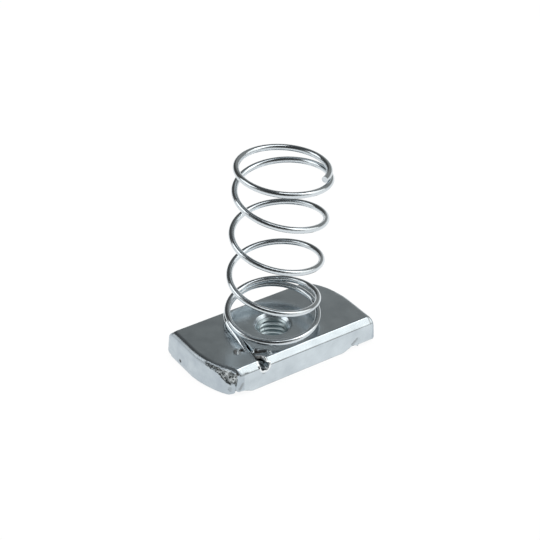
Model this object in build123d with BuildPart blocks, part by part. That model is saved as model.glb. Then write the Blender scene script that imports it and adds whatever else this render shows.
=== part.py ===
"""Strut spring nut: a grooved, threaded plate with a long coil spring staked to its top face.

Frame: +Z up, origin on the thread axis at the underside of the plate. X runs along the plate's
length and Y across it. The spring's tail is held in a slot at the -Y side. Millimetres.
"""

import os
from math import atan2, cos, degrees, hypot, pi, radians, sin

from build123d import *

# ---- plate -----------------------------------------------------------------------------------
plate_length = 35.0      # along X, at the top face
plate_width = 18.6       # along Y
plate_thickness = 5.7
shear_flare = 0.45       # the sheared ends lean outward under their top edge
shear_depth = 0.85
end_draft = 4.5          # degrees by which they go on flaring, down to the underside
end_corner_radius = 14.0  # rounded corners, front left and back right, that let the nut turn
end_corner_start = 1.3   # how far past the middle of the end the rounding starts
sharp_corner_round = 0.8  # the other two corners, seen from above
long_edge_chamfer = 1.1
lip_round = 1.1          # outer bottom edges of the end lips
lip_round_bevels = 3

# ---- threaded hole ---------------------------------------------------------------------------
thread_minor_radius = 2.5    # M6 coarse, bored to the minor diameter
countersink_radius = 3.7     # top face
countersink_angle = 90.0
bottom_countersink = 0.4     # underside

# ---- grooves for the channel's lips ----------------------------------------------------------
middle_half_length = 10.6    # flat middle of the underside, from the thread axis
flank_run = 1.9              # shallow flank, from the flat middle to the knee
flank_rise = 0.85
groove_flank_run = 1.1       # steep toothed flank, from the knee to the roof
groove_roof_width = 0.5      # up to the groove's upright outer wall
groove_depth = 2.3           # roof of the groove above the underside
lip_lift = 0.1               # how far the end lips stand above the underside
tooth_pitch = 1.1
tooth_notch_width = 0.9
tooth_depth = 0.4
tooth_margin = 0.5           # plain strip at both ends of each row of teeth

# ---- spring ----------------------------------------------------------------------------------
wire_diameter = 1.2
foot_radius = 8.66           # wire centre line, at the plate
waist_radius = 8.6
head_radius = 8.75
turns = 5.66
head_turn = 5.6              # turn at which the head's radius and slope are reached
closed_pitch = 0.17          # axial rise of the first turn, which stands askew
open_pitch = 9.13
head_pitch = 0.75            # the last turn, pressed down on the one below
opening_starts = 0.82        # turn at which the coil starts to open
opening_ends = 1.437
closing_starts = 4.3
closing_ends = 4.84
foot_lift = 1.06             # air under the middle of the first turn, where it starts
foot_centre = (0.33, 0.77)   # where the coil's axis meets the plate
foot_slope = (0.016, -0.03)  # slope of the coil's axis at the plate
head_slope = (0.068, -0.02)  # and at its head, because the free coil leans
tip_turns = 0.27             # last part of the wire, bent inward
tip_inset = 0.88
settled_turn = 2.15          # turn by which the wire pulled askew by its tail runs true
askew_flare = 0.385
askew_shift = (0.43, 0.21)
askew_slope = (-0.145, -0.056)
points_per_turn = 18

# ---- tail of the wire, slot and stake ---------------------------------------------------------
slot_x = -7.95               # middle of the slot, in the front face
slot_width = 2.1             # at its mouth; it narrows to the wire at the stake
slot_depth = 2.05
stake_x = -8.35              # where the plate's metal is driven over the wire
stake_y = -4.9
stake_length = 1.4           # along the wire
wire_depth_at_stake = 1.2    # wire centre below the top face
wire_clearance = 0.08
tail_end_inset = 1.5         # wire end behind the front face
bend_past_stake = 0.7
chisel_x = -7.95             # middle of the chisel's mark across the wire
chisel_y = -5.2
chisel_length = 6.2
chisel_width = 0.9
chisel_depth = 0.35
chisel_angle = -36.0
tail_joins_turn = 0.05       # turn at which the straight tail meets the coil

wire_radius = wire_diameter / 2
front_y = -plate_width / 2
groove_outer_x = middle_half_length + flank_run + groove_flank_run + groove_roof_width


def ramp_area(turn, start, end):
    """Area up to `turn` under a ramp that climbs from 0 at `start` to 1 at `end`."""
    if turn <= start:
        return 0.0
    if turn < end:
        return (turn - start) ** 2 / (2 * (end - start))
    return turn - (start + end) / 2


def axial_height(turn):
    """Height of the wire's centre line along the coil's axis, over its resting height."""
    opened = (open_pitch - closed_pitch) * ramp_area(turn, opening_starts, opening_ends)
    closed = (open_pitch - head_pitch) * ramp_area(turn, closing_starts, closing_ends)
    return foot_lift + closed_pitch * turn + opened - closed


def askew(turn):
    """Share of the pull of the staked tail that the wire still shows at this turn."""
    return max(0.0, 1 - turn / settled_turn) ** 2


def coil_radius(turn):
    """Radius of the centre line: a foot, a narrower waist and a head, with an inward tip."""
    u = 2 * turn / head_turn - 1
    mean = (foot_radius + head_radius) / 2
    radius = waist_radius + (head_radius - foot_radius) / 2 * u + (mean - waist_radius) * u * u
    into_tip = max(0.0, turn - (turns - tip_turns)) / tip_turns
    return radius - tip_inset * into_tip * into_tip + askew_flare * askew(turn)


def coil_point(turn):
    """Point of the left-hand coil, whose rings stay square to its leaning axis."""
    height = axial_height(turn)
    share = height / axial_height(head_turn)
    slope = [
        foot + (head - foot) * share + pull * askew(turn)
        for foot, head, pull in zip(foot_slope, head_slope, askew_slope)
    ]
    middle = [
        centre + (foot + (head - foot) * share / 2) * height + pull * askew(turn)
        for centre, foot, head, pull in zip(foot_centre, foot_slope, head_slope, askew_shift)
    ]
    angle = pi - 2 * pi * turn
    radius = coil_radius(turn)
    across = (radius * cos(angle), radius * sin(angle))
    drop = across[0] * slope[0] + across[1] * slope[1]
    return Vector(
        middle[0] + across[0],
        middle[1] + across[1],
        plate_thickness + wire_radius + height - drop,
    )


def across_wire(at, along):
    """Plane square to the wire's run, with its Y direction pointing up."""
    return Plane(origin=at, x_dir=Vector(0, 0, 1).cross(along), z_dir=along)


# The tail runs straight from the slot's mouth under the stake, bends and climbs to the coil.
wire_in_mouth = plate_thickness - slot_depth + wire_radius + wire_clearance
mouth = Vector(slot_x, front_y, wire_in_mouth)
stake = Vector(stake_x, stake_y, plate_thickness - wire_depth_at_stake)
buried = (stake - mouth).normalized()
tail_end = mouth + buried * tail_end_inset
bend = stake + buried * bend_past_stake
coil_start = coil_point(tail_joins_turn)
climb = (coil_start - bend).normalized()
climb_length = (coil_start - bend).length

# ==== plate ===================================================================================
with BuildPart() as channel_nut:
    # Blank: two diagonal corners are rounded so that it can turn inside the channel.
    half_length = plate_length / 2
    half_width = plate_width / 2
    arc_middle_x = half_length - end_corner_radius
    arc_end_x = arc_middle_x + (end_corner_radius**2 - (half_width + end_corner_start) ** 2) ** 0.5
    arc_turn = degrees(atan2(half_width + end_corner_start, arc_end_x - arc_middle_x))
    with BuildSketch(Plane.XY.offset(plate_thickness)) as outline:
        with BuildLine():
            back_right = CenterArc(
                (arc_middle_x, -end_corner_start), end_corner_radius, 0, arc_turn
            )
            back = Line(back_right @ 1, (-half_length, half_width))
            left = Line(back @ 1, (-half_length, end_corner_start))
            front_left = CenterArc(
                (-arc_middle_x, end_corner_start), end_corner_radius, 180, arc_turn
            )
            front = Line(front_left @ 1, (half_length, -half_width))
            right = Line(front @ 1, back_right @ 0)
        make_face()
        sharp_corners = outline.vertices().sort_by(lambda corner: corner.X * corner.Y)[:2]
        fillet(sharp_corners, radius=sharp_corner_round)
    extrude(amount=-shear_depth, taper=-degrees(atan2(shear_flare, shear_depth)))
    sheared = channel_nut.faces().sort_by(Axis.Z)[0]
    extrude(sheared, amount=plate_thickness - shear_depth - lip_round, taper=-end_draft)
    # Their bottom edge is rounded off, in a few bevels.
    bevel_step = 90 / lip_round_bevels
    for i in range(lip_round_bevels):
        upper, lower = radians(i * bevel_step), radians((i + 1) * bevel_step)
        lowest = channel_nut.faces().sort_by(Axis.Z)[0]
        bevel_height = lip_round * (sin(lower) - sin(upper))
        extrude(lowest, amount=bevel_height, taper=(i + 0.5) * bevel_step)
    # The long sides are the bar's own: upright, with chamfered top edges.
    flared = plate_length + 4 * plate_thickness
    chamfer_low = plate_thickness - long_edge_chamfer
    with BuildSketch(Plane.YZ):
        with BuildLine():
            Polyline(
                (0, 0),
                (half_width, 0),
                (half_width, chamfer_low),
                (half_width - long_edge_chamfer, plate_thickness),
                (0, plate_thickness),
            )
            mirror(about=Plane.YZ)
        make_face()
    extrude(amount=flared / 2, both=True, mode=Mode.INTERSECT)

    # Underside: a flat middle, a flank, a groove across the width and a lifted lip at each end.
    with BuildSketch(Plane.XZ) as underside:
        with BuildLine():
            Polyline(
                (middle_half_length, 0),
                (middle_half_length + flank_run, flank_rise),
                (groove_outer_x - groove_roof_width, groove_depth),
                (groove_outer_x, groove_depth),
                (groove_outer_x, lip_lift),
                (flared, lip_lift),
                (flared, -plate_thickness),
                (middle_half_length, -plate_thickness),
                close=True,
            )
        make_face()
        mirror(about=Plane.YZ)
    extrude(amount=plate_width, both=True, mode=Mode.SUBTRACT)

    # Teeth on the groove's steep flank, which bite the channel's lips.
    tooth_count = int((plate_width - 2 * tooth_margin) / tooth_pitch)
    knee = (middle_half_length + flank_run, flank_rise)
    flank_top = (groove_outer_x - groove_roof_width, groove_depth)
    flank_step = (flank_top[0] - knee[0], flank_top[1] - knee[1])
    for side in (1, -1):
        flank = Plane(
            origin=(side * knee[0], 0, knee[1]),
            x_dir=(0, side, 0),
            z_dir=(side * flank_step[0], 0, flank_step[1]),
        )
        with BuildSketch(flank) as tooth_row:
            with GridLocations(tooth_pitch, 0, tooth_count, 1):
                Polygon(
                    (-tooth_notch_width / 2, 0),
                    (0, -tooth_depth),
                    (tooth_notch_width / 2, 0),
                    (0, tooth_depth),
                    align=None,
                )
        extrude(amount=hypot(*flank_step), mode=Mode.SUBTRACT)

    # The lips' bottom edges are rounded off along both sides too.
    for side in (1, -1):
        with BuildSketch(Plane.YZ.offset(side * groove_outer_x)):
            with Locations((half_width - lip_round, lip_lift + lip_round)):
                Rectangle(2 * lip_round, 2 * lip_round, align=(Align.MIN, Align.MAX))
                Circle(lip_round, mode=Mode.SUBTRACT)
            mirror(about=Plane.YZ)
        extrude(amount=side * flared / 2, mode=Mode.SUBTRACT)

    # Threaded hole, countersunk on both faces.
    with Locations((0, 0, plate_thickness)):
        CounterSinkHole(
            radius=thread_minor_radius,
            counter_sink_radius=countersink_radius,
            counter_sink_angle=countersink_angle,
        )
    under_rim = channel_nut.edges().filter_by(GeomType.CIRCLE).sort_by(Axis.Z)[0]
    chamfer(under_rim, length=bottom_countersink)

    # Slot for the wire's tail: a U in the front face, open at the top, that narrows to the stake.
    slot_mouth = mouth - buried * wire_diameter
    slot_end = stake - buried * stake_length / 2
    for at, width in ((slot_mouth, slot_width), (slot_end, wire_diameter + 2 * wire_clearance)):
        with BuildSketch(across_wire(at, buried)):
            with Locations((0, width / 2 - wire_radius - wire_clearance)):
                Circle(width / 2)
            with Locations((0, width / 2 - wire_radius - wire_clearance + plate_thickness / 2)):
                Rectangle(width, plate_thickness)
    loft(mode=Mode.SUBTRACT)
    # Under the stake the metal closes over the wire.
    with BuildSketch(across_wire(mouth, buried)):
        Circle(wire_radius + wire_clearance)
    extrude(amount=(bend - mouth).length, mode=Mode.SUBTRACT)
    # Past it the wire climbs out of a narrower groove.
    with BuildSketch(across_wire(bend - climb * wire_radius / 2, climb)):
        Circle(wire_radius + wire_clearance)
        with Locations((0, plate_thickness / 2)):
            Rectangle(wire_diameter + 2 * wire_clearance, plate_thickness)
    extrude(amount=climb_length, mode=Mode.SUBTRACT)

    # Chisel mark that drove the metal over.
    chisel_line = Plane(
        origin=(chisel_x, chisel_y, plate_thickness),
        x_dir=Vector(0, 1, 0).rotate(Axis.Z, chisel_angle),
        z_dir=Vector(1, 0, 0).rotate(Axis.Z, chisel_angle),
    )
    with BuildSketch(chisel_line):
        with BuildLine():
            Polyline(
                (-chisel_width / 2, 0),
                (0, -chisel_depth),
                (chisel_width / 2, 0),
                (0, chisel_depth),
                close=True,
            )
        make_face()
    extrude(amount=chisel_length / 2, both=True, mode=Mode.SUBTRACT)

channel_nut.part.label = "channel_nut"

# ==== spring ==================================================================================
with BuildPart() as spring:
    with BuildLine() as wire_line:
        first_points = [tail_end, tail_end + (bend - tail_end) / 2, bend]
        rise_points = [bend + climb * climb_length * share for share in (1 / 3, 2 / 3)]
        coil_count = round(points_per_turn * (turns - tail_joins_turn))
        coil_points = [
            coil_point(tail_joins_turn + (turns - tail_joins_turn) * i / coil_count)
            for i in range(coil_count + 1)
        ]
        Spline(first_points + rise_points + coil_points)
    with BuildSketch(Plane(origin=wire_line.line @ 0, z_dir=wire_line.line % 0)):
        Circle(wire_radius)
    sweep(is_frenet=True)

spring.part.label = "spring"

# ==== files ===================================================================================
os.makedirs("parts", exist_ok=True)
for piece in (channel_nut, spring):
    export_step(piece.part, f"parts/{piece.part.label}.step")
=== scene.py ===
"""Strut spring nut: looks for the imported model, with a studio and a camera.

Relief of the plate is worked out in millimetres. All that reaches Blender is in metres.
"""
from math import cos, pi, radians, sin

import bmesh
import bpy
import numpy as np
from mathutils import Matrix, Vector


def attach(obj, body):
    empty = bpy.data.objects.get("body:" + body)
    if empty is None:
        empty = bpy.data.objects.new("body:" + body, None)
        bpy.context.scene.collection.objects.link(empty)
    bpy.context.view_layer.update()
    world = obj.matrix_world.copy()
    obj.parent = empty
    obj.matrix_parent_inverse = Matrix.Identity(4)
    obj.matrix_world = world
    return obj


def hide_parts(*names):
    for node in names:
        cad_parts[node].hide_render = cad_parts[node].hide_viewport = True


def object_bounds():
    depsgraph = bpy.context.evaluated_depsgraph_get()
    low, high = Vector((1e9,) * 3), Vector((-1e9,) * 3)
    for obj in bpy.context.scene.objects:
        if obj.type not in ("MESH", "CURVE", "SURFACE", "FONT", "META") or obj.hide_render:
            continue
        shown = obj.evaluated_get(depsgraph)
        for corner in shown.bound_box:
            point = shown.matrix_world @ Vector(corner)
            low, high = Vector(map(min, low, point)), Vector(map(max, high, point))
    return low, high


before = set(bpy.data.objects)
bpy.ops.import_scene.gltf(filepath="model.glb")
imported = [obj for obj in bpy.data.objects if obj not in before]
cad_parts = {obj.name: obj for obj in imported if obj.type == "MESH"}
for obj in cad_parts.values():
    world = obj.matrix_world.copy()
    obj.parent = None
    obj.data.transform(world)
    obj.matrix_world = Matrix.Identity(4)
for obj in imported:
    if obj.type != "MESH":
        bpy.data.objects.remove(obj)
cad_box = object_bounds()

MM = 0.001

# ==== sizes of the CAD source, in millimetres =================================================
PLATE_TOP = 5.7
HALF_LENGTH = 17.5
CHAMFER = 1.1
ARC_MIDDLE, ARC_RADIUS = (-3.5, 1.3), 14.0          # the left end's rounded corner
SHEAR_DEPTH, END_FLARE = 0.85, 0.45                 # the end flares down to this depth
END_DRAFT = 0.0787                                  # and then grows this much each mm
LIP_LIFT, LIP_ROUND = 0.1, 1.1
GROOVE_TOP, GROOVE_OUTER = 2.3, 14.1
COUNTERSINK, UNDER_COUNTERSINK = 3.7, 2.9           # radii at the two faces, at 45 degrees
STAKE = (-8.35, -4.9)                               # where metal is driven over the wire
SLOT_LEAN = 0.4 / 4.4                               # in X, for each mm towards the mouth
SLOT_END_Y, SLOT_MOUTH_Y = -5.6, -10.5
SLOT_HALF_WIDTHS = (0.68, 1.05)                     # at the slot's end and at its mouth
SLOT_BOTTOM_MIDDLE, SLOT_BOTTOM_RADIUS = 4.65, 1.0
CHISEL_MIDDLE, CHISEL_RUN = (-7.95, -5.2), (0.809, -0.588)


# ==== objects =================================================================================
def link(obj):
    bpy.context.scene.collection.objects.link(obj)
    return obj


def new_object(name, verts, faces):
    mesh = bpy.data.meshes.new(name)
    mesh.from_pydata(verts, [], faces)
    mesh.update()
    return link(bpy.data.objects.new(name, mesh))


def apply_modifiers(obj):
    graph = bpy.context.evaluated_depsgraph_get()
    graph.update()
    made = bpy.data.meshes.new_from_object(obj.evaluated_get(graph))
    obj.modifiers.clear()
    obj.data = made


def finish_mesh(obj, material):
    """Smooth shading and this material alone."""
    mesh = obj.data
    mesh.polygons.foreach_set("use_smooth", [True] * len(mesh.polygons))
    mesh.materials.clear()
    mesh.materials.append(material)


# ==== materials ===============================================================================
MARKS = ("shear", "torn", "line", "burr_and_highlight", "slit_and_shade")   # the plate's point attributes

NOISE_SPREAD = (0.3, 0.7)           # noise at which a ramp has its first and last value
CLOUD_SIZE, WAVE_SIZE = 12, 14      # of the clouds and waves, in grains
GRAIN_HEIGHT, WAVE_HEIGHT = 0.02 * MM, 0.05 * MM
WAVINESS = 0.05

PLATE_ZINC = {
    "colours": ((0.52, 0.58, 0.62), (0.64, 0.71, 0.75)),
    "rough": (0.20, 0.27), "grain": 3000, "bump": 0.08,
}
# teal-tinted, and darker than the plate's zinc as painted shade in the bore
SHADED_THREAD_ZINC = {
    "colours": ((0.42, 0.50, 0.52), (0.54, 0.62, 0.64)),
    "rough": (0.30, 0.40), "grain": 2500, "bump": 0.15,
}
WIRE_ZINC = {
    "colours": ((0.61, 0.66, 0.69), (0.67, 0.72, 0.75)),
    "rough": (0.13, 0.18), "grain": 3000, "bump": 0.02,
}

SHEAR_COLOURS = (0.435, 0.495, 0.545), (0.545, 0.61, 0.65)
TORN_COLOURS, TORN_SPREAD = ((0.20, 0.22, 0.225), (0.58, 0.62, 0.63)), (0.42, 0.62)
# grey: lines along edges, and painted shade in the grooves and round the slot's mouth
LINE_AND_SHADE_COLOUR = (0.27, 0.29, 0.30)
# painted highlight on the burr round the slot's mouth, the slot's right edge and the pips
BURR_HIGHLIGHT_COLOUR = (0.92, 0.95, 0.96)
# near-black: painted shade in the slot's inside, and the darkened mark, pit, seam and arc's end
SLIT_AND_SHADE_COLOUR = (0.035, 0.027, 0.022)
SHEAR_ROUGH, TORN_ROUGH, BURR_ROUGH, SLIT_ROUGH = 0.36, 0.3, 0.32, 0.6
SHEAR_PATCHES, TORN_GRIT, DRAG_STREAKS = 420.0, 1300.0, 2600.0      # noise scales
STREAK_STRETCH = (1, 1, 0.2)        # the shears drag the metal downwards
STREAK_STRENGTH = 0.35


class Nodes:
    """A few short words for building a node tree."""

    def __init__(self, owner, shader="Principled BSDF"):
        owner.use_nodes = True
        self.owner = owner
        self.tree = owner.node_tree
        self.shader = self.tree.nodes[shader]

    def feed(self, value, socket):
        """Link an output to this input, or set the input to a number, vector or colour."""
        if isinstance(value, bpy.types.NodeSocket):
            self.tree.links.new(value, socket)
        elif socket.type == "RGBA":
            colour = value if isinstance(value, tuple) else (value, value, value)
            socket.default_value = (*colour, 1.0)
        else:
            socket.default_value = value

    def set(self, **values):
        """Feed the shader's own inputs."""
        for key, value in values.items():
            self.feed(value, self.shader.inputs[key.replace("_", " ")])

    def add(self, kind, *sources, **settings):
        """A node with inputs or properties set by name, and its first inputs fed in order."""
        node = self.tree.nodes.new("ShaderNode" + kind)
        for key, value in settings.items():
            name = key.replace("_", " ")
            if name in node.inputs:
                self.feed(value, node.inputs[name])
            else:
                setattr(node, key, value)
        for value, socket in zip(sources, node.inputs):
            self.feed(value, socket)
        return node

    def math(self, operation, first, second):
        return self.add("Math", first, second, operation=operation).outputs[0]

    def noise(self, where, scale, detail, roughness=0.5):
        node = self.add("TexNoise", Vector=where, Scale=scale, Detail=detail, Roughness=roughness)
        return node.outputs["Fac"]

    def bump(self, height, strength, distance, **under):
        """Normal of this relief, laid over another one where Normal is given."""
        node = self.add("Bump", Height=height, Strength=strength, Distance=distance, **under)
        return node.outputs["Normal"]

    def ramp(self, source, positions, values):
        node = self.add("ValToRGB", source)
        elements = node.color_ramp.elements
        for _ in positions[2:]:
            elements.new(1.0)
        for element, position, value in zip(elements, positions, values):
            element.position = position
            colour = value if isinstance(value, tuple) else (value, value, value)
            element.color = (*colour, 1.0)
        return node.outputs["Color"]

    def mix(self, mask, first, second):
        """Colour or grey value: first where the mask is 0, second where it is 1."""
        node = self.add("Mix", data_type="RGBA", Factor=mask)
        sockets = {socket.identifier: socket for socket in (*node.inputs, *node.outputs)}
        self.feed(first, sockets["A_Color"])
        self.feed(second, sockets["B_Color"])
        return sockets["Result_Color"]


def add_marks(n, where, colour, rough, normal):
    """Lay the plate's marks over plain zinc, one after the other, by its point attributes."""
    masks = {mark: n.add("Attribute", attribute_name=mark).outputs["Fac"] for mark in MARKS}
    patches = n.noise(where, SHEAR_PATCHES, detail=4.0, roughness=0.65)
    satin = n.ramp(patches, NOISE_SPREAD, SHEAR_COLOURS)
    grit = n.ramp(n.noise(where, TORN_GRIT, detail=3.0), TORN_SPREAD, TORN_COLOURS)
    # the last three colours also paint shade and highlights
    for mark, over in zip(MARKS, (satin, grit, LINE_AND_SHADE_COLOUR, BURR_HIGHLIGHT_COLOUR, SLIT_AND_SHADE_COLOUR)):
        colour = n.mix(masks[mark], colour, over)
    for mark, over in (("shear", SHEAR_ROUGH), ("torn", TORN_ROUGH),
                       ("burr_and_highlight", BURR_ROUGH), ("slit_and_shade", SLIT_ROUGH)):
        rough = n.mix(masks[mark], rough, over)
    stretched = n.add("Mapping", Vector=where, Scale=STREAK_STRETCH).outputs["Vector"]
    streaks = n.noise(stretched, DRAG_STREAKS, detail=4.0)
    strength = n.math("MULTIPLY", masks["shear"], STREAK_STRENGTH)
    return colour, rough, n.bump(streaks, strength, GRAIN_HEIGHT, Normal=normal)


def zinc(name, colours, rough, grain, bump, marked=False):
    """Plated steel with a cloudy colour, a fine grain and slight waves."""
    n = Nodes(bpy.data.materials.new(name))
    where = n.add("TexCoord").outputs["Object"]
    fine = n.noise(where, grain, detail=6.0, roughness=0.6)
    clouds = n.noise(where, grain / CLOUD_SIZE, detail=3.0)
    waves = n.noise(where, grain / WAVE_SIZE, detail=1.0)
    colour = n.ramp(clouds, NOISE_SPREAD, colours)
    roughness = n.ramp(fine, NOISE_SPREAD, rough)
    normal = n.bump(fine, bump, GRAIN_HEIGHT)
    normal = n.bump(waves, WAVINESS, WAVE_HEIGHT, Normal=normal)
    if marked:
        colour, roughness, normal = add_marks(n, where, colour, roughness, normal)
    n.set(Base_Color=colour, Roughness=roughness, Normal=normal, Metallic=1.0)
    return n.owner


# ==== masks and noise =========================================================================
HASH_FACTORS = (374761393, 668265263, 2246822519)
HASH_SEED_FACTOR, HASH_SEED_START = 974711, 12345
HASH_SHIFTS, HASH_MIXER = (15, 13, 16), 1274126177
HASH_TOP = 0xFFFFFFFF
FACET_TILT, FACET_CAP = 1.6, 1.2


def smoothstep(low, high, value):
    """0 at low, 1 at high, and smooth between; low may be the greater one."""
    t = np.clip((value - low) / (high - low), 0.0, 1.0)
    return t * t * (3 - 2 * t)


def between(value, rise, fall):
    """1 between two soft borders, each given as where it is 0 and where it is 1."""
    return smoothstep(*rise, value) * smoothstep(*fall, value)


def hump(value, width):
    return np.exp(-(value / width) ** 2)


def segment(x, y, start, end):
    """Distance from a straight stretch."""
    run = np.subtract(end, start)
    along = np.clip(((x - start[0]) * run[0] + (y - start[1]) * run[1]) / (run @ run), 0, 1)
    return np.hypot(x - start[0] - run[0] * along, y - start[1] - run[1] * along)


def scatter(cells, seed):
    """A repeatable number from 0 to 1 for each row of whole numbers."""
    mask = np.uint64(HASH_TOP)
    h = np.zeros(len(cells), dtype=np.uint64)
    for column, factor in zip(cells.T, HASH_FACTORS):
        h += (column.astype(np.int64).astype(np.uint64) & mask) * np.uint64(factor)
    h &= mask
    h = (h + np.uint64(seed * HASH_SEED_FACTOR + HASH_SEED_START)) & mask
    for shift in HASH_SHIFTS:
        h = ((h ^ (h >> np.uint64(shift))) * np.uint64(HASH_MIXER)) & mask
    return h.astype(float) / float(HASH_TOP)


def cloud(points, size, seed):
    """Smooth noise from -1 to 1, with lumps of about this size."""
    grid = points / size
    low = np.floor(grid)
    part = grid - low
    part = part * part * (3 - 2 * part)
    total = np.zeros(len(points))
    for corner in np.ndindex(2, 2, 2):
        share = np.prod(np.where(corner, part, 1 - part), axis=1)
        total += share * scatter(low + corner, seed)
    return 2 * total - 1


def facets(points, size, seed):
    """Flat tilted scales of about this size, from 0 to FACET_CAP."""
    grid = points / size
    low = np.floor(grid)
    nearest = np.full(len(points), np.inf)
    level = np.zeros(len(points))
    for step in np.ndindex(3, 3, 3):
        cell = low + step - 1
        middle = cell + np.stack([scatter(cell, seed + i) for i in range(3)], axis=1)
        away = grid - middle
        distance = np.linalg.norm(away, axis=1)
        tilt = np.stack([scatter(cell, seed + 3 + i) - 0.5 for i in range(3)], axis=1)
        height = scatter(cell, seed + 6) + FACET_TILT * (tilt * away).sum(axis=1)
        closer = distance < nearest
        level = np.where(closer, height, level)
        nearest = np.where(closer, distance, nearest)
    return np.clip(level, 0.0, FACET_CAP)


# ==== where a point of the plate lies =========================================================
GROOVE_MARGIN = 0.05
WELL_INSIDE = -1.0                  # stands for any place that isn't on an end's face
END_BORDER = (-0.1, 0.02)           # how far past the outline an end's face starts
LEVEL = 0.97                        # Z part of a normal from which a face counts as level
RAISED = -0.1                       # depth of what stands clearly above the top face


class Places:
    """Where each point of the plate lies with respect to its ends, slot and chisel mark.

    end_x, end_y    place, as if it were at the left end
    depth           below the top face
    angle, arc      degrees and distance round the middle of the rounded corner
    beyond          past the end's outline at the top face
    on_end          share of the end's face
    slot_side       X from the slot's middle
    chisel_along, chisel_across     along and across the chisel's mark
    """

    def __init__(self, points, normals):
        self.points, self.normals = points, normals
        x, y, z = points.T
        self.twin = np.where(x > 0, -1.0, 1.0)      # the right end is the left one, turned round
        self.end_x, self.end_y = x * self.twin, y * self.twin
        self.depth = PLATE_TOP - z
        along, across = self.end_x - ARC_MIDDLE[0], self.end_y - ARC_MIDDLE[1]
        self.angle = np.degrees(np.arctan2(across, along)) % 360
        self.arc = np.hypot(along, across)
        straight = self.end_y > ARC_MIDDLE[1]
        beyond = np.where(straight, -self.end_x - HALF_LENGTH, self.arc - ARC_RADIUS)
        in_groove = z < GROOVE_TOP + GROOVE_MARGIN
        in_groove &= self.end_x > -GROOVE_OUTER - GROOVE_MARGIN
        self.beyond = np.where(in_groove, WELL_INSIDE, beyond)
        self.on_end = smoothstep(*END_BORDER, self.beyond) * (np.abs(normals[:, 2]) < LEVEL)
        self.slot_side = x - (STAKE[0] + (STAKE[1] - y) * SLOT_LEAN)
        offset = points[:, :2] - np.array(CHISEL_MIDDLE)
        self.chisel_along = offset @ np.array(CHISEL_RUN)
        self.chisel_across = offset @ np.array((-CHISEL_RUN[1], CHISEL_RUN[0]))

    def sink(self, amount):
        """Move the points in, along their normals."""
        self.points -= self.normals * amount[:, None]


# ==== torn metal ==============================================================================
TORN_ANGLES = (197, 202, 206, 211, 216, 220, 223.5, 225)        # round the arc, in degrees
TORN_TOPS = (0.25, 0.3, 0.36, 0.42, 0.48, 0.6, 1.0, 1.5)        # depths below the top face
TORN_LOWS = (0.35, 0.75, 1.15, 1.9, 2.9, 3.2, 2.7, 1.6)
TORN_SPAN = (196.8, 198.5), (225.0, 223.5)
TORN_TOP_BORDER, TORN_LOW_BORDER = (-0.06, 0.1), (0.15, -0.15)
TORN_BEYOND = -0.1
TORN_LUMPS = (0.16, 0.5, 3), (0.1, 0.22, 4)                     # height, size and seed
TORN_SCALES = (0.7, 0.75, 11), (0.3, 0.33, 29)                  # share, size and seed
TORN_SINK, TORN_RELIEF = 0.08, 0.4
CHIP_ANGLE, CHIP_DEPTH = 219.2, 4.3                             # a small chip further down
CHIP_SPREAD, CHIP_HEIGHT = 2.2, 0.55
CHIP_SHARE, CHIP_BORDER = 0.35, (1.1, 0.5)


def fracture(at):
    """Share of torn metal: a wedge under the arc's top edge that widens to the corner."""
    ragged = sum(height * cloud(at.points, size, seed) for height, size, seed in TORN_LUMPS)
    depth = at.depth + ragged
    top = np.interp(at.angle, TORN_ANGLES, TORN_TOPS)
    low = np.interp(at.angle, TORN_ANGLES, TORN_LOWS)
    inside = smoothstep(top + TORN_TOP_BORDER[0], top + TORN_TOP_BORDER[1], depth)
    inside *= smoothstep(low + TORN_LOW_BORDER[0], low + TORN_LOW_BORDER[1], depth)
    inside *= between(at.angle, *TORN_SPAN)
    away = np.hypot((at.angle - CHIP_ANGLE) / CHIP_SPREAD, (at.depth - CHIP_DEPTH) / CHIP_HEIGHT)
    chip = CHIP_SHARE * smoothstep(*CHIP_BORDER, away + ragged)
    return np.maximum(inside, chip) * (at.beyond > TORN_BEYOND)


def crumble(at, torn):
    """Break the torn metal up into tilted scales."""
    rough = sum(facets(at.points, size, seed) * share for share, size, seed in TORN_SCALES)
    at.sink(torn * (TORN_SINK + TORN_RELIEF * rough))


# ==== bottom and top edges of the ends ========================================================
FILL_SHARE, FILL_ANGLES = 0.5, (197, 217)           # half, and twice that past these angles
FILL_BEYOND, FILL_Y = -1.2, 8.0
FILL_LEAST, FILL_MOST = 0.02, 1.3                   # in radii of the rounding
FILL_TOP = 1.3
FILL_NEAREST, FILL_GROWTH = 0.5, 0.5

ROLL_WIDTH, ROLL_DROP = 0.75, 0.1
ROLL_BEYOND, ROLL_DEPTH = 0.1, 0.9
ROLL_Y = (7.4, 8.4)                                 # it fades out before the corner
ROLL_TORN = (198, 204), (228, 224)                  # angles between which it is weaker
ROLL_TORN_LOSS = 0.6


def fill_corner(at):
    """Near the torn corner the end's bottom edge is sharper than its rounding elsewhere."""
    share = FILL_SHARE + FILL_SHARE * smoothstep(*FILL_ANGLES, at.angle) * (at.end_y < 0)
    share *= (at.beyond > FILL_BEYOND) * (at.end_y < FILL_Y)
    full = END_FLARE + (at.depth - SHEAR_DEPTH) * END_DRAFT
    across = 1 - (full - at.beyond) / LIP_ROUND
    down = 1 - (at.points[:, 2] - LIP_LIFT) / LIP_ROUND
    inside = (across > FILL_LEAST) & (across < FILL_MOST)
    inside &= (down > FILL_LEAST) & (at.points[:, 2] < FILL_TOP)
    square = np.maximum(np.maximum(across, down), FILL_NEAREST)
    grow = np.clip(share * inside * (1 / square - 1), 0, FILL_GROWTH)
    out = LIP_ROUND * np.clip(across, 0, 1) * grow
    direction = np.radians(at.angle)
    at.points[:, 0] += at.twin * np.cos(direction) * out
    at.points[:, 1] += at.twin * np.sin(direction) * out
    at.points[:, 2] -= LIP_ROUND * np.clip(down, 0, 1) * grow


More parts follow.
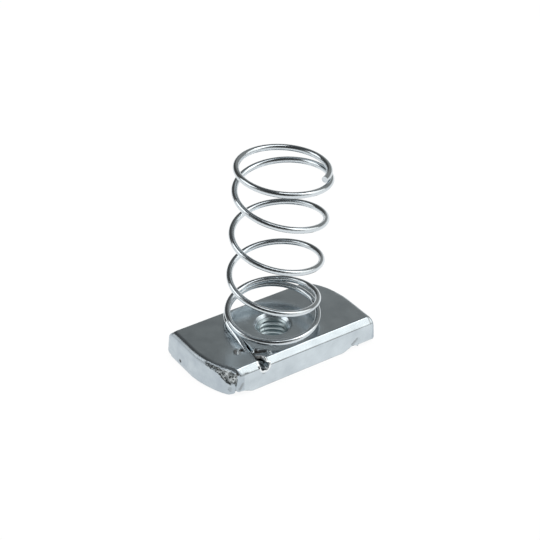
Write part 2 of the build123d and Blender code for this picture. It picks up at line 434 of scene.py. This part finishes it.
def roll_edges(at):
    """The shears pull the top face down a little along both ends."""
    near = smoothstep(-ROLL_WIDTH, ROLL_BEYOND, at.beyond)
    near *= 1 - smoothstep(*ROLL_Y, -at.end_y)
    torn_stretch = between(at.angle, *ROLL_TORN) * (at.end_y < 0)
    drop = ROLL_DROP * near * (1 - ROLL_TORN_LOSS * torn_stretch)
    drop = drop * np.clip(1 - at.depth / ROLL_DEPTH, 0, 1)
    at.points[:, 2] -= drop * (at.depth > RAISED)


# ==== grooves dragged nearly shut at the plate's sides ========================================
DRAG_OUT = (10.6, 11.3, 12.1, 13.2, 14.1)           # from the middle towards the end
DRAG_FLOOR = (0.25, 0.4, 0.85, 0.95, 0.45)          # how low the metal is dragged there
DRAG_SPAN = (10.4, 10.9), (14.3, 14.15)
DRAG_SIDE = (8.2, 8.8)                              # from the middle towards the side
DRAG_PAST_ARC, DRAG_ARC_ANGLE = (-0.4, 0.2), 210
DRAG_TOP = 3.6                                      # the side's face is drawn down from here
DRAG_CEILING = 0.02
# the slit left in each groove's mouth is sunk a little and gets painted shade
DARK_TORN_SIDE = (13.55, 1.5), (12.95, 2.6)         # the slit that stays, from its lower end
DARK_SQUARE_SIDE = (12.7, 1.3), (13.8, 2.1)         # to its upper one
DARK_BORDER, DARK_SIDE_Y, DARK_SINK = (0.42, 0.1), 9.0, 0.2
TIP_X, TIP_Y = (-14.9, -14.1), (-6.3, -7.6)         # the lip's tip at the torn corner
TIP_OUT, TIP_LIFT = 13.9, 0.35
# the groove's low walls get painted shade
HOLLOW_OUT, HOLLOW_TOP, HOLLOW_Y = 11.3, 0.9, 8.7   # the groove's walls low down, in shade
HOLLOW_MARGIN = 0.03


def drag_down(at):
    """Drag the grooves' ceilings and the sides' faces down near the plate's sides."""
    z = at.points[:, 2].copy()
    out = -at.end_x
    floor = np.interp(out, DRAG_OUT, DRAG_FLOOR)
    past_arc = smoothstep(*DRAG_PAST_ARC, at.arc - ARC_RADIUS) * (at.angle > DRAG_ARC_ANGLE)
    share = np.maximum(smoothstep(*DRAG_SIDE, np.abs(at.end_y)), past_arc)
    share = share * smoothstep(*DRAG_SPAN[0], out) * smoothstep(*DRAG_SPAN[1], out)
    above = (GROOVE_TOP - floor) * smoothstep(DRAG_TOP, GROOVE_TOP, z)
    below = np.maximum(z - floor, 0)
    at.points[:, 2] -= share * np.where(z > GROOVE_TOP - DRAG_CEILING, above, below)


def close_grooves(at):
    """Shut the grooves' mouths; gives the share that gets painted shade."""
    drag_down(at)
    out, z = -at.end_x, at.points[:, 2]
    away = np.where(at.end_y < 0, segment(out, z, *DARK_TORN_SIDE),
                    segment(out, z, *DARK_SQUARE_SIDE))
    slit_and_shade = smoothstep(*DARK_BORDER, away) * (np.abs(at.end_y) > DARK_SIDE_Y)
    at.sink(DARK_SINK * slit_and_shade)
    tip = smoothstep(*TIP_X, at.end_x) * smoothstep(*TIP_Y, at.end_y) * (out > TIP_OUT)
    at.points[:, 2] += TIP_LIFT * tip * np.clip(1 - z / GROOVE_TOP, 0, 1)
    hollow = (out < GROOVE_OUTER + HOLLOW_MARGIN) & (out > HOLLOW_OUT)
    hollow &= (z < HOLLOW_TOP) & (np.abs(at.end_y) < HOLLOW_Y)
    return np.maximum(slit_and_shade, hollow * 1.0)


# ==== chisel mark and slot ====================================================================
# The mark has a stretch on each side of the wire, each with two borders along the mark.
CHISEL_LEFT = (-2.8, -2.4), (-0.35, -0.6)
CHISEL_RIGHT = (0.0, 0.35), (3.0, 2.3)
CHISEL_WIDTH_LEFT, CHISEL_WIDTH_RIGHT = 0.44, 0.54  # half widths
CHISEL_TAPER = 0.1                                  # of the right stretch, for each mm along
CHISEL_OFFSET, CHISEL_BORDER = 0.18, (0.06, -0.1)
CHISEL_LOWEST, CHISEL_SINK = 1.2, 0.35
SOURCE_MARK_WIDTH, SOURCE_MARK_LENGTH = 0.5, 3.4    # halves of the plain mark in the source
SOURCE_MARK_DEPTH = 0.4
PIPS = (                                            # along, across, radius, height
    (-3.0, -0.42, 0.7, 0.36),
    (3.15, -0.45, 0.5, 0.24),
)
PIP_STRETCH, PIP_DEPTH = 0.7, 0.6
SWELL_ALONG, SWELL_ACROSS, SWELL_SIZE = -0.3, -1.1, (2.6, 0.8)
SWELL_HEIGHT, SWELL_DEPTH = 0.03, 0.3

SHUT_Y = (-5.1, -5.5), (-7.5, -6.9)                 # where driven metal meets over the wire
SEAM_SIDE, SEAM_LEAN, SEAM_Y = -0.28, 0.216, -5.74  # it lies here at this Y and leans left
SEAM_GAP = 0.03
LIP_Y = (-10.0, -9.3, -8.43, -7.3, -6.9)            # the slot's right edge past the seam
LIP_SIDE = (0.62, 0.58, 0.52, 0.22, 0.1)
LEAN_REACH, LEAN_DEPTH = (1.7, 0.0), (0.74, 0.44)   # how far the shift fades out
SEAM_RIDGE, SEAM_RIDGE_SIDE = 0.06, -0.1
SEAM_RIDGE_WIDTH, SEAM_RIDGE_DEPTH = 0.9, 0.5
LIP_RIDGE, LIP_RIDGE_SIDE = 0.24, 0.24
LIP_RIDGE_WIDTH, LIP_RIDGE_DEPTH = 0.2, 0.4
LIP_RIDGE_Y = (-6.6, -7.2)


def recess(at):
    """Share of the chisel's mark, on both sides of the wire."""
    along = at.chisel_along
    stretches = between(along, *CHISEL_LEFT) + between(along, *CHISEL_RIGHT)
    width = np.where(along > 0, CHISEL_WIDTH_RIGHT - CHISEL_TAPER * along, CHISEL_WIDTH_LEFT)
    away = np.abs(at.chisel_across - CHISEL_OFFSET)
    inside = smoothstep(width + CHISEL_BORDER[0], width + CHISEL_BORDER[1], away)
    return inside * stretches * (at.depth < CHISEL_LOWEST)


def pip(at, along, across, radius, height):
    """A small cone that the chisel's end pushes up."""
    away = np.hypot(at.chisel_along - along, (at.chisel_across - across) * PIP_STRETCH)
    return height * (np.clip(1 - away / radius, 0, 1) * (at.depth < PIP_DEPTH))


def strike(at):
    """Fill the source's plain mark, cut the finer one, raise its pips; gives mark and pips."""
    mark = recess(at)
    source = (np.abs(at.chisel_across) < SOURCE_MARK_WIDTH) & (at.depth < SOURCE_MARK_DEPTH)
    source &= np.abs(at.chisel_along) < SOURCE_MARK_LENGTH
    source &= np.abs(at.slot_side) > slot_half_width(at)
    at.points[:, 2] += (1 - mark) * at.depth * source - CHISEL_SINK * mark
    pips = sum(pip(at, *values) for values in PIPS)
    at.points[:, 2] += pips
    return mark, pips


def seam_side(at):
    """X from the slot's middle to where the metal driven from both sides meets."""
    return SEAM_SIDE - SEAM_LEAN * (SEAM_Y - at.points[:, 1])


def slot_half_width(at):
    run = np.clip((SLOT_END_Y - at.points[:, 1]) / (SLOT_END_Y - SLOT_MOUTH_Y), 0, 1)
    return SLOT_HALF_WIDTHS[0] + (SLOT_HALF_WIDTHS[1] - SLOT_HALF_WIDTHS[0]) * run


def slot_rim(at):
    """Distance from the U that the slot cuts in the front face."""
    level = at.points[:, 2] - SLOT_BOTTOM_MIDDLE
    away = np.where(level > 0, np.abs(at.slot_side), np.hypot(at.slot_side, level))
    return away - SLOT_BOTTOM_RADIUS


def close_slot(at):
    """Lean the slot's top edges over the wire: shut near the stake, narrower at the mouth."""
    y, side, half = at.points[:, 1], at.slot_side, slot_half_width(at)
    past_stake, shut = smoothstep(*SHUT_Y[0], y), between(y, *SHUT_Y)
    seam = seam_side(at)
    lip = np.interp(y, LIP_Y, LIP_SIDE)
    right_edge = lip + (seam + SEAM_GAP - lip) * shut
    left_edge = -half + (seam - SEAM_GAP + half) * shut
    shift = np.where(side > 0, half - right_edge, -half - left_edge) * past_stake
    reach = smoothstep(*LEAN_REACH, np.abs(side) - half) * smoothstep(*LEAN_DEPTH, at.depth)
    at.points[:, 0] -= shift * reach
    ridge = hump(side - SEAM_RIDGE_SIDE, SEAM_RIDGE_WIDTH) * shut
    at.points[:, 2] += SEAM_RIDGE * ridge * (at.depth < SEAM_RIDGE_DEPTH)
    ridge = hump(side - half - LIP_RIDGE_SIDE, LIP_RIDGE_WIDTH) * smoothstep(*LIP_RIDGE_Y, y)
    ridge = ridge * (side > 0) * past_stake
    at.points[:, 2] += LIP_RIDGE * ridge * (at.depth < LIP_RIDGE_DEPTH)


def swell_top(at):
    """The blow raises the top face a little in front of the mark."""
    swell = np.exp(-((at.chisel_along - SWELL_ALONG) / SWELL_SIZE[0]) ** 2
                   - ((at.chisel_across - SWELL_ACROSS) / SWELL_SIZE[1]) ** 2)
    on_top = (np.abs(at.depth) < SWELL_DEPTH) & (np.abs(at.slot_side) > slot_half_width(at))
    at.points[:, 2] += SWELL_HEIGHT * swell * on_top


# ==== pit, burrs, painted highlights and the dark places ======================================
PIT_Y, PIT_DEPTH = 4.5, 4.3
PIT_BORDER, PIT_SINK, PIT_DARK = (0.34, 0.12), 0.2, (0.4, 0.2)
FAR_AWAY = 9.0

# painted highlights: the burr round the slot's mouth, the slot's right edge and the pips' tops
RIM_BURR, RIM_BURR_WIDTH = 0.13, 0.16               # outwards from the slot's rim
RIM_BURR_HEIGHT = 0.13
RIM_BRIGHT_Y, RIM_RAISED_Y = -8.2, -8.9
EDGE_MIDDLE, EDGE_BORDER = 0.1, (0.32, 0.12)        # right of the slot's right edge
EDGE_Y, EDGE_DEPTH = (-6.7, -7.1), 0.55
PIP_SHINE, PIP_BORDER = (0.75, 0.4), (0.01, 0.06)   # of the left and the right pip

# the slot's inside gets near-black painted shade
INSIDE_RIM, INSIDE_Y = (-0.02, -0.2), (-6.9, -7.3)  # the shadowed inside of the slot
INSIDE_DEPTH = (0.35, 0.6), (2.3, 1.3)
SEAM_BORDER, SEAM_DEPTH = (0.22, 0.1), 0.5
SEAM_DARK_Y = (-5.0, -5.4), (-8.0, -7.4)
ARC_END, ARC_END_WIDTH = 224.3, 1.0                 # degrees: a dark line where the arc ends
ARC_END_BEYOND, ARC_END_DEPTH, ARC_END_LEVEL = -0.45, (0.15, 1.1), 0.5
MARK_DARK, SEAM_DARK, ARC_END_DARK = 0.95, 0.7, 0.9

# grey painted shade low and left round the slot's mouth
GREY_SHADE_RIM, GREY_SHADE_WIDTH, GREY_SHADE_END = 0.5, 0.12, 0.9  # outwards from the slot's rim
GREY_SHADE_SIDE, GREY_SHADE_Y = ((-0.9, -0.5), (0.2, -0.2)), -9.0


def dent(at):
    """A small pit in the left end; gives the distance from its middle."""
    away = np.hypot(at.end_y - PIT_Y, at.depth - PIT_DEPTH)
    away += FAR_AWAY * (at.points[:, 0] > 0)        # the right end has none
    at.sink(PIT_SINK * smoothstep(*PIT_BORDER, away) * at.on_end)
    return away


def raise_burr(at, rim):
    """A burr round the slot's mouth in the front face; gives its share, which also gets a painted
    highlight.
    """
    y = at.points[:, 1]
    burr_and_highlight = hump(rim - RIM_BURR, RIM_BURR_WIDTH) * (y < RIM_BRIGHT_Y) * (at.depth > RAISED)
    at.sink(-RIM_BURR_HEIGHT * (burr_and_highlight * (y < RIM_RAISED_Y)))
    return burr_and_highlight


def bright_edges(at, pips):
    """Painted highlights on the slot's right edge and on the tops of the pips."""
    y, beside = at.points[:, 1], np.abs(at.slot_side) - slot_half_width(at)
    edge = smoothstep(*EDGE_BORDER, np.abs(beside - EDGE_MIDDLE)) * (at.slot_side > 0)
    edge *= smoothstep(*EDGE_Y, y)
    edge *= (at.depth < EDGE_DEPTH) * (y > RIM_RAISED_Y)
    shine = np.where(at.chisel_along < 0, *PIP_SHINE) * smoothstep(*PIP_BORDER, pips)
    return np.maximum(edge, shine)


def dark_places(at, mark, pit, rim):
    """Darkened: the mark, the pit, the slot's inside as painted shade, its seam, and a line where
    the arc ends.
    """
    y, beside = at.points[:, 1], np.abs(at.slot_side) - slot_half_width(at)
    inside = smoothstep(*INSIDE_RIM, rim) * smoothstep(*INSIDE_Y, y)
    inside *= between(at.depth, *INSIDE_DEPTH)
    pit_dark = smoothstep(*PIT_DARK, pit) * at.on_end
    seam = smoothstep(*SEAM_BORDER, np.abs(beside)) * (at.depth < SEAM_DEPTH)
    seam *= between(y, *SEAM_DARK_Y)
    line = (np.abs(at.angle - ARC_END) < ARC_END_WIDTH) & (at.end_y < 0)
    line &= (at.beyond > ARC_END_BEYOND) & (at.normals[:, 2] < ARC_END_LEVEL)
    line &= (at.depth > ARC_END_DEPTH[0]) & (at.depth < ARC_END_DEPTH[1])
    parts = [MARK_DARK * mark, pit_dark, inside, SEAM_DARK * seam, ARC_END_DARK * line]
    return np.maximum.reduce(parts)


def grey_shade_beside(at, rim):
    """Grey painted shade in the front face, low and left round the slot's mouth."""
    grey_shade = hump(rim - GREY_SHADE_RIM, GREY_SHADE_WIDTH) * smoothstep(*GREY_SHADE_SIDE[1], at.slot_side)
    grey_shade *= smoothstep(*GREY_SHADE_SIDE[0], at.slot_side)
    grey_shade *= (at.points[:, 1] < GREY_SHADE_Y) * (rim < GREY_SHADE_END)
    return grey_shade * (at.points[:, 2] < SLOT_BOTTOM_MIDDLE)


def carve(at):
    """Shape the plate's marks; gives the shares of torn metal, dark places, burrs with painted
    highlights and grey painted shade.
    """
    torn = fracture(at)
    fill_corner(at)
    shade = close_grooves(at)
    roll_edges(at)
    crumble(at, torn)
    mark, pips = strike(at)
    close_slot(at)
    swell_top(at)
    pit = dent(at)
    rim = slot_rim(at)
    burr_and_highlight = raise_burr(at, rim)
    burr_and_highlight = np.maximum(burr_and_highlight, bright_edges(at, pips))
    dark = dark_places(at, mark, pit, rim)
    return torn, dark, burr_and_highlight, np.maximum(shade, grey_shade_beside(at, rim))


# ==== plate ===================================================================================
VOXEL = 0.18                                        # cell of the plate's mesh
BORE_RELIEF = 3.03                                  # radius cleared for the thread piece
RELIEF_BELOW = 0.5                                  # how far its cylinder starts below
WELD = 0.002
FINE_BEYOND, FINE_ANGLES = -0.4, (195, 228)         # finer cells in the torn metal
FINE_ALONG, FINE_ACROSS, FINE_DEPTH = 4.2, (-4.4, 1.6), 2.6     # and round the chisel mark
LINE_BORDER, LINE_SIDE_Y = (0.13, 0.03), 9.1
LINE_MEAN, LINE_VARIATION, LINE_LUMPS = 0.75, 0.5, (1.7, 51)    # lumps: size and seed
MITRE_IN, MITRE_BORDER, MITRE_Y, MITRE_DEPTH = 0.45, (0.16, 0.06), 8.3, 0.1
END_DARK, END_DARK_BORDER, END_DARK_ANGLE = 0.4, (0.3, 0.12), 203
# share of the painted shade from the grooves and the slot's mouth in the grey lines
SHADE_DARK = 0.8
RIM_SOFT, RIM_SOFT_DEPTH = (-0.75, -0.35), (1.6, 1.1)           # places that are evened out
CORNER_PLACE, CORNER_LEAN = (-13.0, -9.3), 0.1
CORNER_SOFT, CORNER_DEPTH = (1.1, 0.4), 0.2
LIP_TIP, LIP_TIP_SOFT = (-14.1, -9.0, 0.3), (1.7, 0.6)
RELAX_SHARE, RELAX_ROUNDS = 0.5, 14


def cad_copy(node, name):
    """A copy of a CAD node's mesh with its seams welded."""
    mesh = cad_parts[node].data.copy()
    mesh.materials.clear()
    welded = bmesh.new()
    welded.from_mesh(mesh)
    bmesh.ops.remove_doubles(welded, verts=welded.verts, dist=WELD * MM)
    welded.to_mesh(mesh)
    welded.free()
    return link(bpy.data.objects.new(name, mesh))


def cylinder(name, radius, low, high, steps=96):
    turn = [2 * pi * i / steps for i in range(steps)]
    verts = [
        (radius * cos(a) * MM, radius * sin(a) * MM, z * MM) for z in (low, high) for a in turn
    ]
    faces = [(i, (i + 1) % steps, steps + (i + 1) % steps, steps + i) for i in range(steps)]
    faces += [tuple(reversed(range(steps))), tuple(range(steps, 2 * steps))]
    return new_object(name, verts, faces)


def read(items, name, width, kind=float):
    """A property of all vertices or edges, as rows of this width."""
    values = np.empty(width * len(items), dtype=kind)
    items.foreach_get(name, values)
    return values.reshape(-1, width)


def places(mesh):
    return Places(read(mesh.vertices, "co", 3) / MM, read(mesh.vertices, "normal", 3))


def refine(mesh):
    """Halve the cells where the metal is torn or staked."""
    at = places(mesh)
    torn = (at.beyond > FINE_BEYOND) & (at.end_y < 0)
    torn &= (at.angle > FINE_ANGLES[0]) & (at.angle < FINE_ANGLES[1])
    staked = (np.abs(at.chisel_along) < FINE_ALONG) & (at.depth < FINE_DEPTH)
    staked &= (at.chisel_across > FINE_ACROSS[0]) & (at.chisel_across < FINE_ACROSS[1])
    wanted = torn | staked
    fine = bmesh.new()
    fine.from_mesh(mesh)
    edges = [e for e in fine.edges if all(wanted[v.index] for v in e.verts)]
    bmesh.ops.subdivide_edges(fine, edges=edges, cuts=1, use_grid_fill=True)
    fine.to_mesh(mesh)
    fine.free()


def even_plate():
    """The CAD plate with its bore cleared for the thread, as an even and fine mesh."""
    exact = cad_copy("channel_nut", "exact_plate")
    relief = cylinder("relief", BORE_RELIEF, -RELIEF_BELOW, THREAD_END)
    cut = exact.modifiers.new("bore", "BOOLEAN")
    cut.operation, cut.solver, cut.object = "DIFFERENCE", "EXACT", relief
    apply_modifiers(exact)
    plate = link(bpy.data.objects.new("plate", exact.data.copy()))
    cells = plate.modifiers.new("cells", "REMESH")
    cells.mode, cells.voxel_size, cells.adaptivity = "VOXEL", VOXEL * MM, 0.0
    apply_modifiers(plate)
    refine(plate.data)
    snug = plate.modifiers.new("snug", "SHRINKWRAP")
    snug.target, snug.wrap_method = exact, "NEAREST_SURFACEPOINT"
    apply_modifiers(plate)
    bpy.data.objects.remove(exact)
    bpy.data.objects.remove(relief)
    return plate


def edge_lines(at):
    """Grey lines: the chamfer's lower edge and its mitre at the square corner; darker just under
    the end's top edge.
    """
    line = smoothstep(*LINE_BORDER, np.abs(at.depth - CHAMFER))
    line *= np.abs(at.points[:, 1]) > LINE_SIDE_Y
    line *= np.clip(LINE_MEAN + LINE_VARIATION * cloud(at.points, *LINE_LUMPS), 0, 1)
    mitre = smoothstep(*MITRE_BORDER, np.abs(at.end_x + HALF_LENGTH - MITRE_IN))
    mitre *= (at.end_y > MITRE_Y) * (at.depth < CHAMFER + MITRE_DEPTH)
    end_dark = END_DARK * smoothstep(*END_DARK_BORDER, at.depth) * at.on_end * (at.angle < END_DARK_ANGLE)
    return np.maximum.reduce([line, mitre, end_dark])


def relax(at, mesh, torn):
    """Even out the ends' top edge, the torn corner and the lip's tip, by their neighbours."""
    rim = smoothstep(*RIM_SOFT, at.beyond) * smoothstep(*RIM_SOFT_DEPTH, at.depth) * (1 - torn)
    corner = np.hypot(at.end_x - CORNER_PLACE[0] + CORNER_LEAN * at.depth,
                      at.end_y - CORNER_PLACE[1])
    corner = smoothstep(*CORNER_SOFT, corner) * (1 - torn) * (at.depth > CORNER_DEPTH)
    place = np.stack([at.end_x, at.end_y, at.points[:, 2]], axis=1)
    tip = smoothstep(*LIP_TIP_SOFT, np.linalg.norm(place - LIP_TIP, axis=1))
    share = np.clip(RELAX_SHARE * np.maximum.reduce([rim, corner, tip]), 0, RELAX_SHARE)
    edges = read(mesh.edges, "vertices", 2, np.int64)
    count = np.bincount(edges.ravel(), minlength=len(at.points))
    for _ in range(RELAX_ROUNDS):
        total = np.stack([
            np.bincount(edges[:, 0], at.points[edges[:, 1], i], len(at.points))
            + np.bincount(edges[:, 1], at.points[edges[:, 0], i], len(at.points))
            for i in range(3)
        ], axis=1)
        at.points += share[:, None] * (total / np.maximum(count, 1)[:, None] - at.points)


def make_plate():
    """The plate with its marks, kept inside the CAD model's box."""
    plate = even_plate()
    mesh = plate.data
    at = places(mesh)
    line = edge_lines(at)
    torn, slit_and_shade, burr_and_highlight, shade = carve(at)
    relax(at, mesh, torn)
    low, high = (np.array(corner) / MM for corner in cad_box)
    mesh.vertices.foreach_set("co", (np.clip(at.points, low, high) * MM).ravel())
    mesh.update()
    # the painted shade joins the grey lines
    line = np.maximum(line, SHADE_DARK * shade)
    for mark, share in zip(MARKS, (at.on_end, torn, line, burr_and_highlight, slit_and_shade)):
        layer = mesh.attributes.new(mark, "FLOAT", "POINT")
        layer.data.foreach_set("value", share.astype(np.float32))
    finish_mesh(plate, zinc("zinc_plate", **PLATE_ZINC, marked=True))
    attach(plate, "root")
    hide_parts("channel_nut")


# ==== thread ==================================================================================
THREAD_MINOR, THREAD_MAJOR, THREAD_PITCH = 2.5, 3.0, 1.0
THREAD_ROOT, THREAD_FLANK = 0.14, 0.66              # shares of the pitch; the rest is the crest
THREAD_START = 0.03
THREAD_END = PLATE_TOP - COUNTERSINK + BORE_RELIEF  # the countersink has that radius here
THREAD_GAP = 0.01
THREAD_WALL = 0.12                                  # from the cleared bore into the plate
THREAD_AROUND, THREAD_ALONG = 144, 200              # faces round the thread and up it


def thread_radius(turn, height):
    """Radius of a 60 degree internal thread, with flat crests and roots."""
    phase = (height / THREAD_PITCH + turn) % 1.0
    ridge = abs(phase - 0.5) * 2
    rise = min(max((ridge - THREAD_ROOT) / THREAD_FLANK, 0.0), 1.0)
    radius = THREAD_MAJOR + (THREAD_MINOR - THREAD_MAJOR) * rise
    return max(radius, COUNTERSINK - PLATE_TOP + height, UNDER_COUNTERSINK - height)


def ring(height, radii):
    """Points of a level ring in metres, one for each of its radii."""
    angles = [2 * pi * (i / len(radii)) for i in range(len(radii))]
    return [(r * cos(a) * MM, r * sin(a) * MM, height * MM) for a, r in zip(angles, radii)]


def make_thread():
    """The bore's lining: rings up the thread and down its outer wall, closed to a tube."""
    low, high = THREAD_START, THREAD_END - THREAD_GAP
    turns = [i / THREAD_AROUND for i in range(THREAD_AROUND)]
    heights = [low + (high - low) * j / THREAD_ALONG for j in range(THREAD_ALONG + 1)]
    rings = [ring(z, [thread_radius(turn, z) for turn in turns]) for z in heights]
    rings += [ring(z, [BORE_RELIEF + THREAD_WALL] * THREAD_AROUND) for z in (high, low)]
    faces = []
    for j in range(len(rings)):
        lower, upper = j * THREAD_AROUND, (j + 1) % len(rings) * THREAD_AROUND
        for i in range(THREAD_AROUND):
            k = (i + 1) % THREAD_AROUND
            faces.append((lower + i, upper + i, upper + k, lower + k))
    thread = new_object("thread", [point for points in rings for point in points], faces)
    # darker zinc for the thread: painted shade in the bore
    finish_mesh(thread, zinc("shaded_zinc_thread", **SHADED_THREAD_ZINC))
    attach(thread, "root")


# ==== studio ==================================================================================
FLOOR_COLOUR, FLOOR_ROUGH, FLOOR_REACH = (0.86, 0.86, 0.86), 0.9, 4.0
FLOOR_GLOW = 0.93                                   # what the camera and the metal see of it
FLOOR_LIGHT, FLOOR_LIGHT_ANGLE = 3.0, 50            # watts a square metre, degrees

ROOM_SHADE, ROOM_TOP = (0.272, 0.276, 0.270), (0.07, 0.074, 0.078)
ROOM_HEIGHTS = (0.04, 0.16, 0.62, 0.82)             # sines of the angle above the horizon
ROOM_COLOURS = ((1, 1, 1), ROOM_SHADE, ROOM_SHADE, ROOM_TOP)
UNLIT_SIDES = (                                     # direction, cosines between which it falls
    ((-0.56, -0.62, 0.55), 0.62, 0.95),
    ((-0.12, 0.94, 0.32), 0.74, 0.94),
)
UNLIT_LEVEL = 0.25

LAMP_DISTANCE = 0.9                                 # metres
LAMP_ACROSS = (0.817, -0.576, 0)                    # the lamps' width runs this way
LAMPS = (                                           # name, direction, metres, watts, colour
    ("overhead", (0.37, -0.26, 1), (0.7, 0.4), 1.7, (1, 1, 1)),
    ("right_box", (0.66, -0.47, 0.59), (0.8, 0.7), 2.0, (1, 0.985, 0.96)),
    ("left_box", (-0.65, 0.48, 0.59), (0.6, 0.55), 1.5, (1, 1, 1)),
)

CAMERA_AZIMUTH, CAMERA_ELEVATION = -35.20, 33.82    # degrees; azimuth 0 looks along +Y
CAMERA_ROLL = 1.31                                  # degrees
CAMERA_DISTANCE = 274.69                            # mm, along the view
CAMERA_RISE, CAMERA_SIDE = 15.17, -0.34             # mm up and right in the view
CAMERA_LENS, CAMERA_CLIP = 93.4, (0.01, 20)         # mm, metres


def floor_material():
    """Matt and plain, and nearly white where the camera, metal or glass sees it."""
    n = Nodes(bpy.data.materials.new("floor"))
    n.set(Base_Color=FLOOR_COLOUR, Roughness=FLOOR_ROUGH, Specular_IOR_Level=0.0)
    glow = n.add("Emission", Color=(1, 1, 1), Strength=1.0).outputs[0]
    path = n.add("LightPath").outputs
    seen = n.math("MAXIMUM", path["Is Camera Ray"], path["Is Glossy Ray"])
    seen = n.math("MAXIMUM", seen, path["Is Transmission Ray"])
    share = n.math("MULTIPLY", seen, FLOOR_GLOW)
    surface = n.add("MixShader", share, n.shader.outputs[0], glow).outputs[0]
    n.feed(surface, n.tree.nodes["Material Output"].inputs["Surface"])
    return n.owner


def make_floor():
    r = FLOOR_REACH
    floor = new_object("floor", [(-r, -r, 0), (r, -r, 0), (r, r, 0), (-r, r, 0)], [(0, 1, 2, 3)])
    floor.data.materials.append(floor_material())


def make_floor_light():
    """A wide sun that whitens the matt floor, which still takes a shadow; metal doesn't see it."""
    lamp = bpy.data.lights.new("floor_light", "SUN")
    lamp.energy, lamp.angle = FLOOR_LIGHT, radians(FLOOR_LIGHT_ANGLE)
    sun = link(bpy.data.objects.new("floor_light", lamp))
    sun.visible_glossy = False


def unlit_side(n, where, direction, start, end):
    """1 far from a direction, down to UNLIT_LEVEL near it."""
    near = n.add("VectorMath", where, direction, operation="DOT_PRODUCT").outputs["Value"]
    fall = n.add("MapRange", Value=near, From_Min=start, From_Max=end, To_Min=1.0,
                 To_Max=UNLIT_LEVEL, interpolation_type="SMOOTHSTEP")
    return fall.outputs["Result"]


def make_world():
    """A dim room with a bright horizon, a dark top and two unlit sides, by direction alone."""
    n = Nodes(bpy.data.worlds.new("studio"), "Background")
    bpy.context.scene.world = n.owner
    where = n.add("TexCoord").outputs["Generated"]
    height = n.add("SeparateXYZ", where).outputs["Z"]
    unlit = [unlit_side(n, where, *side) for side in UNLIT_SIDES]
    n.set(Color=n.ramp(height, ROOM_HEIGHTS, ROOM_COLOURS), Strength=n.math("MULTIPLY", *unlit))


def turned(place, right, up, back):
    """Matrix of an object at this place, whose axes run right, up and back."""
    return Matrix.Translation(place) @ Matrix((right, up, back)).transposed().to_4x4()


def make_lamp(name, direction, size, watts, colour):
    """A soft box that faces the foot of the thread's axis."""
    lamp = bpy.data.lights.new(name, "AREA")
    lamp.shape, lamp.energy, lamp.color = "RECTANGLE", watts, colour
    lamp.size, lamp.size_y = size
    back, across = Vector(direction).normalized(), Vector(LAMP_ACROSS)
    side = (across - back * across.dot(back)).normalized()
    box = link(bpy.data.objects.new(name, lamp))
    box.matrix_world = turned(back * LAMP_DISTANCE, side, back.cross(side), back)


def make_camera():
    a, e, roll = (radians(v) for v in (CAMERA_AZIMUTH, CAMERA_ELEVATION, CAMERA_ROLL))
    back = Vector((sin(a) * cos(e), -cos(a) * cos(e), sin(e)))
    level = Vector((cos(a), sin(a), 0))
    upright = back.cross(level)
    right = level * cos(roll) + upright * sin(roll)
    up = upright * cos(roll) - level * sin(roll)
    data = bpy.data.cameras.new("camera")
    data.lens = CAMERA_LENS
    data.clip_start, data.clip_end = CAMERA_CLIP
    place = back * CAMERA_DISTANCE + up * CAMERA_RISE + right * CAMERA_SIDE
    camera = link(bpy.data.objects.new("camera", data))
    camera.matrix_world = turned(place * MM, right, up, back)
    bpy.context.scene.camera = camera


# ==== everything ==============================================================================
make_plate()
make_thread()
finish_mesh(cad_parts["spring"], zinc("zinc_wire", **WIRE_ZINC))

make_floor()
make_floor_light()
make_world()
for values in LAMPS:
    make_lamp(*values)
make_camera()

bpy.context.scene.view_settings.view_transform = "Standard"
